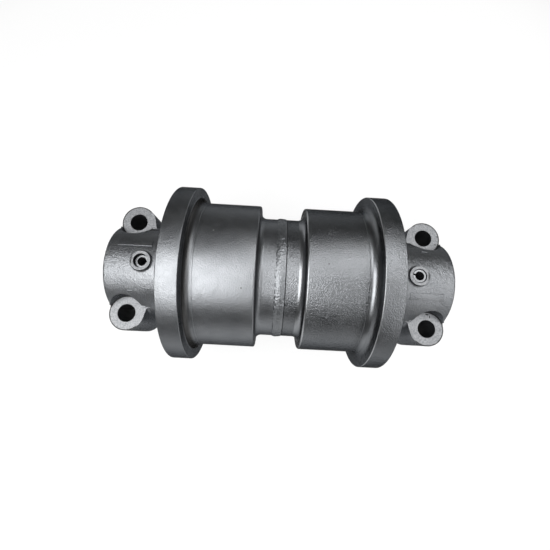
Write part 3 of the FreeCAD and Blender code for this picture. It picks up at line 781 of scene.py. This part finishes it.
@dataclass
class RollerShell:
    """The turning shell's two halves, with their treads and flanges."""

    length: float = 276 * MM
    flange_radius: float = 120 * MM
    flange_width: float = 25 * MM
    flange_round: float = 1 * MM
    flange_root: float = 9 * MM
    tread_radius: float = 100 * MM
    tread_round: float = 2.5 * MM
    land_width: float = 1.5 * MM
    land_rise: float = 0.3 * MM
    waist_radius: float = 83 * MM
    waist_width: float = 59 * MM
    waist_root: float = 8 * MM
    groove_half: float = 6.8 * MM
    groove_depth: float = 13 * MM
    cavity_radius: float = 52 * MM
    cavity_end: float = 55 * MM
    bore_radius: float = 44 * MM
    pocket_depth: float = 20 * MM
    seat_radii: Span = (61.8 * MM, 63.4 * MM)
    recess_depth: float = 7 * MM
    recess_radius: float = 82 * MM
    recess_round: float = 0.6 * MM
    segments: int = 320
    edge_tilts: Span = (0.12, 0.97)
    level_tilt: float = 0.03
    smooth_tilt: float = 0.62
    left_paint: Finish = SHELL_PAINT
    right_paint: Finish = GRAINY_SHADED_SHELL_PAINT
    edge_highlight_paint: Finish = EDGE_HIGHLIGHT_PAINT
    root_highlight_paint: Finish = ROOT_HIGHLIGHT_PAINT
    flange_root_highlight_paint: Finish = FLANGE_ROOT_HIGHLIGHT_PAINT

    def half_profile(self) -> List[Station]:
        """The right half's profile, from the oil chamber round to the weld groove.

        Returns:
            The (x, radius) stations.
        """
        end = self.length / 2
        land = end - self.flange_width - self.flange_root - self.land_width
        corners: List[Triple] = [
            (0.0, self.cavity_radius, 0.0),
            (self.cavity_end, self.cavity_radius, 0.0),
            (self.cavity_end, self.bore_radius, 0.0),
            (end - self.pocket_depth, self.bore_radius, 0.0),
            (end - self.pocket_depth, self.seat_radii[0], 0.0),
            (end - self.recess_depth, self.seat_radii[1], 0.0),
            (end - self.recess_depth, self.recess_radius, 0.0),
            (end, self.recess_radius, self.recess_round),
            (end, self.flange_radius, self.flange_round),
            (end - self.flange_width, self.flange_radius, self.flange_round),
            (end - self.flange_width, self.tread_radius + self.land_rise, self.flange_root),
            (land, self.tread_radius + self.land_rise, 0.0),
            (land - self.land_rise, self.tread_radius, 0.0),
            (self.waist_width / 2, self.tread_radius, self.tread_round),
            (self.waist_width / 2, self.waist_radius, self.waist_root),
            (self.groove_half, self.waist_radius, 0.0),
            (0.0, self.waist_radius - self.groove_depth, 0.0),
        ]
        return rounded(corners)

    def _is_bright_edge(self, face: Face) -> bool:
        """Whether a face lies on the right half's rounded edges that look to the waist.

        Args:
            face: A face of the right half.

        Returns:
            True on the tread's edge and the flange's inner edge.
        """
        if not self.edge_tilts[0] < abs(face.normal.x) < self.edge_tilts[1]:
            return False
        x, radius = face.center.x, radius_of(face.center)
        tread_end = self.waist_width / 2 + self.tread_round
        flange_end = self.length / 2 - self.flange_width + self.flange_round
        on_tread = radius > self.tread_radius - self.tread_round and x < tread_end
        on_flange = radius > self.flange_radius - self.flange_round and x < flange_end
        return on_tread or on_flange

    def _is_waist_root(self, face: Face) -> bool:
        """Whether a face lies in the hollow between the right half's neck and its tread.

        Args:
            face: A face of the right half.

        Returns:
            True in the hollow.
        """
        inside = self.groove_half < face.center.x < self.waist_width / 2
        top = self.waist_radius + self.waist_root
        hollow = self.waist_radius < radius_of(face.center) < top
        return inside and hollow and abs(face.normal.x) > self.level_tilt

    def _is_flange_root(self, face: Face) -> bool:
        """Whether a face lies on the tread's side of the hollow before the right half's flange.

        Args:
            face: A face of the right half.

        Returns:
            True on that side of the hollow.
        """
        flange_face = self.length / 2 - self.flange_width
        inside = flange_face - self.flange_root < face.center.x < flange_face
        top = self.tread_radius + self.land_rise + self.flange_root
        hollow = self.tread_radius < radius_of(face.center) < top
        return inside and hollow and self.level_tilt < abs(face.normal.x) < self.smooth_tilt

    def build(self) -> List[Piece]:
        """Turns the right half, copies it for the left and dresses both.

        Returns:
            The halves.
        """
        right = turned("shell_half_right", self.half_profile(), self.segments)
        shade(right, degrees=30)
        left = mirror_copy(right, "shell_half_left")
        dress(left, self.left_paint)
        # the right half's edges and root hollows take painted highlights
        dress(
            right,
            self.right_paint,
            (self.edge_highlight_paint, self._is_bright_edge),
            (self.root_highlight_paint, self._is_waist_root),
            (self.flange_root_highlight_paint, self._is_flange_root),
        )
        for piece, node in ((left, "roller_shell_left"), (right, "roller_shell_right")):
            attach(piece, Body.ROLLING.value)
            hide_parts(node)
        return [left, right]


@dataclass(frozen=True)
class Swell:
    """A smooth, uneven swell of a surface: how long one wave is, and how strong."""

    size: float
    strength: float = 1.0

    def at(self, place: Vector) -> float:
        """The swell at a place."""
        return self.strength * noise.noise(place / self.size)


@dataclass
class CentreWeld:
    """The arc weld that fills the groove between the halves, and the spatter beside it.

    A share is a place across the bead, from -1 at its left edge to 1 at its right edge.
    """

    shell: RollerShell
    segments: int = 900
    across: int = 30
    crown: float = 1.3 * MM
    ridge: float = -0.15
    ripples: int = 150
    ripple_height: float = 0.045 * MM
    ripple_bow: float = 2.4
    ripple_wander: Swell = Swell(9 * MM, 3.0)
    calm_middle: float = math.radians(103)
    calm_reach: float = math.radians(19)
    calm_start: float = 0.6
    calmest: float = 0.12
    lump_size: float = 6 * MM
    lump_height: float = 0.15 * MM
    lump_layers: Tuple[float, float, int] = (0.9, 2.1, 4)
    lump_growth: float = 0.5
    pimples: Swell = Swell(2.1 * MM, 0.28 * MM)
    edge: float = 0.86
    undercut: float = 1.1 * MM
    right_mean: float = 0.85
    right_jags: Swell = Swell(2.6 * MM, 0.5)
    left_mean: float = 0.25
    left_growth: float = 1.4
    left_bites: Tuple[Swell, Swell] = (Swell(3.5 * MM), Swell(25 * MM, 1.2))
    left_depths: Span = (-0.25, 1.1)
    dark_shares: Span = (-0.9, 0.88)
    dark_dip: float = 0.45 * MM
    dark_rags: Swell = Swell(2.2 * MM, 0.05)
    root_room: float = 0.3 * MM
    spatter: Tuple[Triple, ...] = (
        (14.4, -43.9, 1.1),
        (16.5, -47.8, 0.9),
        (12.4, -42.0, 0.7),
        (17.8, -44.6, 0.7),
    )
    paint: Finish = WELD_PAINT
    undercut_shade_paint: Finish = HOLE_PAINTED_SHADE

    def _crown(self, share: float) -> float:
        """How far the bead stands out of the neck, steep on its left and flat on its right.

        Args:
            share: The place across the bead.

        Returns:
            The rise.
        """
        reach = 1 + self.ridge if share < self.ridge else 1 - self.ridge
        fall = abs(share - self.ridge) / reach
        return self.crown * (1 - fall**2)

    def _lift(self, place: Vector, share: float) -> float:
        """How far the bead's ripples, lumps and pimples lift a point of it.

        Args:
            place: The point.
            share: The place across the bead.

        Returns:
            The lift.
        """
        angle = math.atan2(place.z, -place.y)
        calm = abs(angle - (math.pi - self.calm_middle)) / self.calm_reach
        rough = min(1.0, max(self.calmest, calm - self.calm_start))
        phase = self.ripples * angle + self.ripple_bow * share**2 + self.ripple_wander.at(place)
        ripple = self.ripple_height * math.cos(phase) * rough * (1 - share**4)
        lump = self.lump_height * noise.fractal(place / self.lump_size, *self.lump_layers)
        return ripple + lump * (1 + self.lump_growth * rough) + self.pimples.at(place)

    def _bite(self, place: Vector, share: float) -> float:
        """How deep the undercut is: all along the right edge, and in places on the left.

        Args:
            place: A point of the bead.
            share: The place across the bead.

        Returns:
            The depth, which is none between the edges.
        """
        into_edge = (abs(share) - self.edge) / (1 - self.edge)
        if into_edge <= 0.0:
            return 0.0
        if share > 0.0:
            return self.undercut * (self.right_mean + self.right_jags.at(place)) * into_edge
        bite = sum(swell.at(place) for swell in self.left_bites)
        shallowest, deepest = self.left_depths
        depth = min(deepest, max(shallowest, self.left_mean + self.left_growth * bite))
        return self.undercut * depth * into_edge

    def _roughen(self, weld: Piece) -> None:
        """Moves the bead's points out and in as an arc weld's ripples and undercut do.

        Args:
            weld: The smooth weld.
        """
        on_bead = self.shell.waist_radius - 0.1 * MM
        for point in weld.data.vertices:
            radius = radius_of(point.co)
            if radius < on_bead:
                continue
            share = point.co.x / self.shell.groove_half
            rise = self._lift(point.co, share) - self._bite(point.co, share)
            scale = (radius + rise) / radius
            point.co.y *= scale
            point.co.z *= scale
        weld.data.update()

    def _drops(self) -> List[Piece]:
        """Adds the few drops of spatter that stick to the neck.

        Returns:
            The drops.
        """
        drops = []
        for x, y, radius in self.spatter:
            place = Vector((x, y, 0)) * MM
            place.z = math.sqrt(self.shell.waist_radius**2 - place.y**2)
            deselect_all()
            bpy.ops.mesh.primitive_ico_sphere_add(
                subdivisions=3, radius=radius * MM, location=place
            )
            settle(bpy.context.object)
            drops.append(bpy.context.object)
        return drops

    def _is_undercut(self, face: Face) -> bool:
        """Whether a face lies in the ragged undercut beside the bead, which takes painted shade.

        Args:
            face: A face of the weld.

        Returns:
            True along the bead's right edge, and where its left edge dips.
        """
        share = face.center.x / self.shell.groove_half
        depth = self.shell.waist_radius - radius_of(face.center)
        if depth > self.undercut + self.root_room or abs(share) > 1:
            return False
        ragged = self.dark_rags.at(face.center)
        left, right = self.dark_shares
        return share > right + ragged or (share < left + ragged and depth > self.dark_dip)

    def build(self) -> List[Piece]:
        """Turns the weld, roughens its bead, adds the spatter and dresses it.

        Returns:
            The weld.
        """
        neck = self.shell.waist_radius
        stations: List[Station] = []
        for k in range(self.across + 1):
            share = 2 * k / self.across - 1
            stations.append((share * self.shell.groove_half, neck + self._crown(share)))
        stations.append((0.0, neck - self.shell.groove_depth))
        weld = turned("weld_bead", stations, self.segments)
        self._roughen(weld)
        weld = join([weld, *self._drops()], "weld_bead")
        shade(weld, degrees=60)
        # the undercut's faces take painted shade
        dress(weld, self.paint, (self.undercut_shade_paint, self._is_undercut))
        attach(weld, Body.ROLLING.value)
        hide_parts("centre_weld")
        return [weld]


@dataclass
class EndCollars:
    """The two cast end collars: rough casting first, then the cuts of the machining."""

    end: float = 225 * MM
    barrel_radius: float = 60 * MM
    disc_span: Span = (134 * MM, 154 * MM)
    disc_radius: float = 78 * MM
    hub_nose: float = 124.4 * MM
    hub_radius: float = 46 * MM
    pocket_floor: float = 147 * MM
    seat_radii: Span = (61.8 * MM, 63.4 * MM)
    bore_radius: float = 37.53 * MM
    bore_chamfer: float = 2 * MM
    bolt_x: float = 202.5 * MM
    bolt_y: float = 64 * MM
    bolt_radius: float = 12 * MM
    lug_radius: float = 22.5 * MM
    lug_swell: float = 0.6 * MM
    horn: Station = (176.4 * MM, 55 * MM)
    spot_height: float = 23 * MM
    spot_radius: float = 23 * MM
    top_gap: float = 18 * MM
    mount_height: float = -55 * MM
    mount_gap: float = 8 * MM
    pin_x: float = 176.5 * MM
    pin_boss_radius: float = 12.5 * MM
    pin_boss_height: float = 65 * MM
    pin_hole_radius: float = 9 * MM
    pin_hole_bottom: float = -49.5 * MM
    spare: float = 5 * MM
    hair: float = 0.02 * MM
    far: float = 30 * MM
    voxel: float = 1.15 * MM
    smoothing: int = 9
    sand: Tuple[Tuple[str, float, float], ...] = (
        ("waves", 22 * MM, 0.3 * MM),
        ("lumps", 4 * MM, 0.26 * MM),
    )
    pad_place: Span = (189.5, -25.0)
    pad_size: Triple = (44.0, 9.0, 0.7)
    dash_place: Span = (191.5, 36.4)
    dash_size: Triple = (8.0, 1.8, 1.2)
    mark_root: float = 2 * MM
    mark_round: float = 0.45 * MM
    flat_tilt: float = 0.999
    wall_tilt: float = 0.2
    near: float = 0.05 * MM
    cast_paint: Finish = CAST_PAINT
    faced_paint: Finish = FACED_PAINT
    hole_shade_paint: Finish = HOLE_PAINTED_SHADE

    def casting(self) -> Piece:
        """Builds the raw casting, with spare metal where it will be machined.

        Returns:
            The casting of the right collar.
        """
        disc_start, disc_end = self.disc_span
        bottom = self.mount_height - self.spare
        top = self.spot_height + self.spare
        hub = (self.hub_nose - self.spare, disc_start + self.spare)
        boss = (self.barrel_radius / 2, self.pin_boss_height + self.spare)
        inner = self.bolt_x - self.lug_radius
        forms = [
            lying("barrel", self.barrel_radius, (disc_start, self.end), 192),
            lying("disc", self.disc_radius, (disc_start - self.spare, disc_end), 192),
            lying("hub", self.hub_radius + self.spare, hub, 96),
            block("lug_bar", (inner, -self.bolt_y, bottom), (self.end, self.bolt_y, top)),
            upright("pin_boss", self.pin_boss_radius, (self.pin_x, 0), boss),
        ]
        for sign in (-1, 1):
            middle = (self.bolt_x, sign * self.bolt_y)
            radius = self.lug_radius + self.lug_swell
            forms.append(upright(f"lug_{sign}", radius, middle, (bottom, top)))
            forms.append(self._horn(sign, bottom, top))
        casting = join(forms, "collar_right")
        apply_modifier(casting, "REMESH", mode="VOXEL", voxel_size=self.voxel)
        apply_modifier(casting, "SMOOTH", factor=0.5, iterations=self.smoothing)
        self._sand_skin(casting)
        return casting

    def _horn(self, sign: int, bottom: float, top: float) -> Piece:
        """Builds the web that runs from a lug's inner side to a sharp corner at the barrel.

        Args:
            sign: Which lug, by the sign of its Y.
            bottom: The web's lower end.
            top: The web's upper end.

        Returns:
            The web: a column on three corners.
        """
        radius = self.lug_radius + self.lug_swell
        centre = Vector((self.bolt_x, self.bolt_y))
        tip = Vector(self.horn)
        to_tip = tip - centre
        heading = math.atan2(to_tip.y, to_tip.x) - math.acos(radius / to_tip.length)
        touch = centre + radius * Vector((math.cos(heading), math.sin(heading)))
        deselect_all()
        bpy.ops.mesh.primitive_circle_add(vertices=3, radius=1.0, fill_type="NGON")
        web = bpy.context.object
        web.name = f"horn_{sign}"
        for point, corner in zip(web.data.vertices, (tip, touch, centre)):
            point.co = (corner.x, sign * corner.y, bottom)
        bpy.ops.object.mode_set(mode="EDIT")
        bpy.ops.mesh.select_all(action="SELECT")
        bpy.ops.mesh.extrude_region_move(TRANSFORM_OT_translate={"value": (0, 0, top - bottom)})
        bpy.ops.object.mode_set(mode="OBJECT")
        clean_normals(web)
        return web

    def _sand_skin(self, casting: Piece) -> None:
        """Gives the casting the low waves and lumps of a sand mould.

        Args:
            casting: The smoothed casting.
        """
        for name, size, depth in self.sand:
            pattern = bpy.data.textures.new(f"mould_{name}", "CLOUDS")
            pattern.noise_scale = size
            pattern.noise_depth = 2
            skin = {"texture_coords": "LOCAL", "strength": depth, "mid_level": 0.5}
            apply_modifier(casting, "DISPLACE", texture=pattern, **skin)

    def cutters(self) -> List[Piece]:
        """Builds the shapes that the machining takes away, in its order.

        Returns:
            One object for each pass.
        """
        half_width = 0.1
        disc_end = self.disc_span[1]
        low, high = self.mount_height - self.far, self.spot_height + self.far * 2
        mount_start = (disc_end + self.mount_gap, -half_width, low)
        mount_end = (self.end + self.far, half_width, self.mount_height)
        boss_cut_radius = self.pin_boss_radius + 2 * MM
        boss_cut = (self.pin_boss_height, self.pin_boss_height + self.far)
        pin_hole = (self.pin_hole_bottom, self.pin_boss_height + self.far)
        flats = [
            block("mount_cut", mount_start, mount_end),
            upright("pin_face_cut", boss_cut_radius, (self.pin_x, 0), boss_cut),
        ]
        tops = []
        holes = [upright("pin_cut", self.pin_hole_radius, (self.pin_x, 0), pin_hole, 72)]
        for sign in (-1, 1):
            middle = (self.bolt_x, sign * self.bolt_y)
            spot = (self.spot_height, high)
            flats.append(upright(f"spot_cut_{sign}", self.spot_radius, middle, spot, 128))
            near, away = sorted((sign * self.horn[1], sign * (self.bolt_y + self.far)))
            top_start = (disc_end + self.top_gap, near, self.spot_height + self.hair)
            tops.append(block(f"top_cut_{sign}", top_start, (self.end + self.far, away, high)))
            through = (low, self.spot_height + self.far)
            holes.append(upright(f"bolt_cut_{sign}", self.bolt_radius, middle, through))
        return [
            join(tops, "top_cuts"),
            join(flats, "flat_cuts"),
            self._pocket_cutter(),
            self._bore_cutter(),
            join(holes, "hole_cuts"),
        ]

    def _pocket_cutter(self) -> Piece:
        """Builds the cutter of the hub's outside, the seal pocket and the disc's inner face.

        Returns:
            The cutter.
        """
        start = self.hub_nose - self.far
        inner = self.bore_radius - 6 * MM
        outer = self.disc_radius + 12 * MM
        stations = [
            (start, inner),
            (self.hub_nose, inner),
            (self.hub_nose, self.hub_radius),
            (self.pocket_floor, self.hub_radius),
            (self.pocket_floor, self.seat_radii[0]),
            (self.disc_span[0], self.seat_radii[1]),
            (self.disc_span[0], outer),
            (start, outer),
        ]
        return turned("pocket_cut", stations, 128)

    def _bore_cutter(self) -> Piece:
        """Builds the bore's cutter, whose outer end widens to the chamfer.

        Returns:
            The cutter.
        """
        span = (self.hub_nose - 20 * MM, self.end - self.bore_chamfer)
        bore = lying("bore_cut", self.bore_radius, span, 128)
        mesh = bmesh.new()
        mesh.from_mesh(bore.data)
        end_faces = [f for f in mesh.faces if f.normal.x > 0.9]
        made = bmesh.ops.extrude_face_region(mesh, geom=end_faces)
        points = [g for g in made["geom"] if isinstance(g, bmesh.types.BMVert)]
        reach = 6 * MM
        grown = 1 + reach / self.bore_radius
        for point in points:
            point.co.x += reach
            point.co.y *= grown
            point.co.z *= grown
        bmesh.ops.delete(mesh, geom=end_faces, context="FACES_ONLY")
        mesh.to_mesh(bore.data)
        mesh.free()
        clean_normals(bore)
        return bore

    def machine(self, casting: Piece) -> None:
        """Cuts the machined faces and holes into the casting.

        Args:
            casting: The rough casting.
        """
        for cutter in self.cutters():
            cut = {"operation": "DIFFERENCE", "object": cutter, "solver": "EXACT"}
            apply_modifier(casting, "BOOLEAN", **cut)
            bpy.data.objects.remove(cutter)

    def _is_faced(self, face: Face) -> bool:
        """Whether a face lies in one of the machined planes.

        Args:
            face: A face of the right collar.

        Returns:
            True on the lugs' bolt and mounting faces and on the pin boss.
        """
        heights = (self.spot_height, self.pin_boss_height, self.mount_height)
        level = any(abs(face.center.z - height) < self.near for height in heights)
        return level and abs(face.normal.z) > self.flat_tilt

    def _is_hole(self, face: Face) -> bool:
        """Whether a face is the wall of a bolt hole or the pin hole.

        Args:
            face: A face of the right collar.

        Returns:
            True inside a hole.
        """
        holes = (
            (self.bolt_x, self.bolt_y, self.bolt_radius),
            (self.bolt_x, -self.bolt_y, self.bolt_radius),
            (self.pin_x, 0.0, self.pin_hole_radius),
        )
        place = face.center
        return abs(face.normal.z) <= self.wall_tilt and any(
            math.hypot(place.x - x, place.y - y) < radius + self.near for x, y, radius in holes
        )

    def _raised(self, place: Span, size: Triple) -> Piece:
        """Adds a small plain raised bar on the barrel, from sizes in millimetres.

        Args:
            place: The bar's middle, as (x, y) on the barrel.
            size: Its length along X, its width round the barrel and its height over it.

        Returns:
            The bar, rooted inside the barrel.
        """
        middle, bar_size = Vector(place) * MM, Vector(size) * MM
        deselect_all()
        bpy.ops.mesh.primitive_cube_add(size=1.0)
        bar = bpy.context.object
        bar.scale = (bar_size.x, bar_size.y, bar_size.z + self.mark_root)
        bar.location = (0, 0, self.barrel_radius + (bar_size.z - self.mark_root) / 2)
        settle(bar)
        bar.rotation_euler = (-math.asin(middle.y / self.barrel_radius), 0, 0)
        bar.location = (middle.x, 0, 0)
        settle(bar)
        apply_modifier(bar, "BEVEL", width=self.mark_round, segments=3, limit_method="NONE")
        return bar

    def build(self) -> List[Piece]:
        """Casts, machines and dresses the right collar and copies it for the left.

        The mould's plain raised marks, a blank pad and a dash, join it after the machining.

        Returns:
            The left and right collars.
        """
        right = self.casting()
        self.machine(right)
        clean_normals(right, merge=1e-7)
        pad = self._raised(self.pad_place, self.pad_size)
        dash = self._raised(self.dash_place, self.dash_size)
        right = join([right, pad, dash], right.name)
        # the walls of the holes take painted shade
        finishes = ((self.faced_paint, self._is_faced), (self.hole_shade_paint, self._is_hole))
        dress(right, self.cast_paint, *finishes)
        shade(right, degrees=40)
        left = mirror_copy(right, "collar_left")
        for piece, side in ((left, Side.LEFT), (right, Side.RIGHT)):
            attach(piece, Body.FIXED.value)
            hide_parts(f"{side.value}_collar")
        return [left, right]


@dataclass
class CarriedPieces:
    """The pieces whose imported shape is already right: they only take their finish."""

    finishes: Tuple[Tuple[str, Finish], ...] = (
        ("axle_shaft", SHAFT_STEEL),
        ("oil_plug", PLUG_STEEL),
        ("_lock_pin", PIN_PAINT),
        ("_bushing", BRONZE),
        ("_seal_ring", SEAL_IRON),
        ("_toric", SEAL_RUBBER),
        ("_oring", SEAL_RUBBER),
    )

    def dress(self) -> None:
        """Gives each carried-over node its finish."""
        for ending, finish in self.finishes:
            material = finish.material()
            for name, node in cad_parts.items():
                if name.endswith(ending):
                    node.data.materials.clear()
                    node.data.materials.append(material)
                    LOG.info("%s takes %s", name, finish.name)


# Camera and studio


@dataclass
class PhotoCamera:
    """The camera, where the photograph's perspective puts it."""

    place: Triple = (-11.42 * MM, -86.33 * MM, 459.43 * MM)
    turn: Triple = (0.19298, -0.011486, 0.055173)
    lens: float = 21.006
    sensor_width: float = 36.0
    clip_start: float = 0.01

    def build(self) -> None:
        """Adds the camera and makes it the scene's."""
        data = bpy.data.cameras.new("photo_camera")
        data.lens = self.lens
        data.sensor_width = self.sensor_width
        data.clip_start = self.clip_start
        camera = bpy.data.objects.new("photo_camera", data)
        camera.rotation_mode = "ZYX"
        camera.rotation_euler = self.turn
        camera.location = self.place
        bpy.context.scene.collection.objects.link(camera)
        bpy.context.scene.camera = camera


@dataclass(frozen=True)
class Lamp:
    """A softly shining panel that faces down, or towards a point.

    Its shine is the brightness of its face.
    """

    name: str
    place: Triple
    size: Span
    shine: float
    aim: Optional[Triple] = None

    def build(self) -> None:
        """Adds the lamp."""
        data = bpy.data.lights.new(self.name, "AREA")
        data.shape = "RECTANGLE"
        data.size, data.size_y = self.size
        data.energy = self.shine * math.pi * self.size[0] * self.size[1]
        lamp = bpy.data.objects.new(self.name, data)
        lamp.location = self.place
        if self.aim is not None:
            heading = Vector(self.aim) - Vector(self.place)
            lamp.rotation_euler = heading.to_track_quat("-Z", "Y").to_euler()
        lamp.visible_camera = False
        bpy.context.scene.collection.objects.link(lamp)


@dataclass
class Studio:
    """A plain pale floor, a dim surround and soft lamps."""

    floor_level: float = -120 * MM
    floor_half: float = 4.0
    floor_tone: float = 0.22
    floor_glow: float = 0.81
    floor_fade: Span = (0.78, 1.78)
    floor_roughness: float = 0.9
    horizon: float = 0.05
    zenith: float = 0.10
    rising: Span = (0.15, 0.85)
    lamps: Tuple[Lamp, ...] = (
        Lamp("left_window", (-0.55, -0.56, 1.2), (1.0, 1.6), 4.5),
        Lamp("overhead", (0.44, 0.50, 1.2), (0.75, 0.78), 3.7),
        Lamp("right_door", (1.15, -0.42, 1.2), (0.76, 1.1), 3.2),
        Lamp("front_right", (1.02, -1.1, 0.7), (0.55, 1.0), 1.8, (0.1, 0.0, 0.0)),
    )

    def build(self) -> None:
        """Adds the floor, the surround and the lamps."""
        deselect_all()
        place = (0, 0, self.floor_level)
        bpy.ops.mesh.primitive_plane_add(size=2 * self.floor_half, location=place)
        floor = bpy.context.object
        floor.name = "floor"
        settle(floor)
        floor.data.materials.append(self._floor_material())
        self._world()
        for lamp in self.lamps:
            lamp.build()

    def _floor_material(self) -> bpy.types.Material:
        """Makes the floor's finish: white round the roller, fading to the surround far off.

        Returns:
            The material.
        """
        material = bpy.data.materials.new("pale_floor")
        material.use_nodes = True
        nodes = Nodes(material.node_tree)
        far = nodes.vector("LENGTH", nodes.place)
        tone, strength = (
            nodes.graded(far, self.floor_fade, (near_value, self.horizon))
            for near_value in (self.floor_tone, self.floor_glow)
        )
        shader = material.node_tree.nodes["Principled BSDF"]
        nodes.feed(shader.inputs["Base Color"], tone)
        nodes.feed(shader.inputs["Roughness"], self.floor_roughness)
        nodes.feed(shader.inputs["Specular IOR Level"], 0.0)
        glow = nodes.add("Emission", {"Strength": strength})
        added = nodes.add("AddShader", {0: shader.outputs[0], 1: glow.outputs[0]})
        rays = nodes.add("LightPath").outputs
        seen = nodes.number("MAXIMUM", rays["Is Camera Ray"], rays["Is Glossy Ray"])
        seen = nodes.number("MAXIMUM", seen, rays["Is Transmission Ray"])
        mix = nodes.add("MixShader", {"Fac": seen, 1: shader.outputs[0], 2: added.outputs[0]})
        output = material.node_tree.nodes["Material Output"]
        nodes.feed(output.inputs["Surface"], mix.outputs[0])
        return material

    def _world(self) -> None:
        """Sets a plain surround that lightens from the horizon up to the zenith."""
        world = bpy.data.worlds.new("surround")
        world.use_nodes = True
        nodes = Nodes(world.node_tree, "Generated")
        height = nodes.axis(nodes.place, "Z")
        strength = nodes.graded(height, self.rising, (self.horizon, self.zenith))
        background = world.node_tree.nodes["Background"]
        nodes.feed(background.inputs["Color"], (1, 1, 1, 1))
        nodes.feed(background.inputs["Strength"], strength)
        bpy.context.scene.world = world


def main() -> None:
    """Builds the camera, the studio and every piece of the roller."""
    logging.basicConfig(level=logging.INFO, format="%(name)s: %(message)s")
    bpy.context.scene.view_settings.view_transform = "Standard"
    PhotoCamera().build()
    Studio().build()
    shell = RollerShell()
    for assembly in (shell, CentreWeld(shell), EndCollars()):
        for piece in assembly.build():
            LOG.info("%s: %d faces", piece.name, len(piece.data.polygons))
    CarriedPieces().dress()


if __name__ == "__main__":
    main()
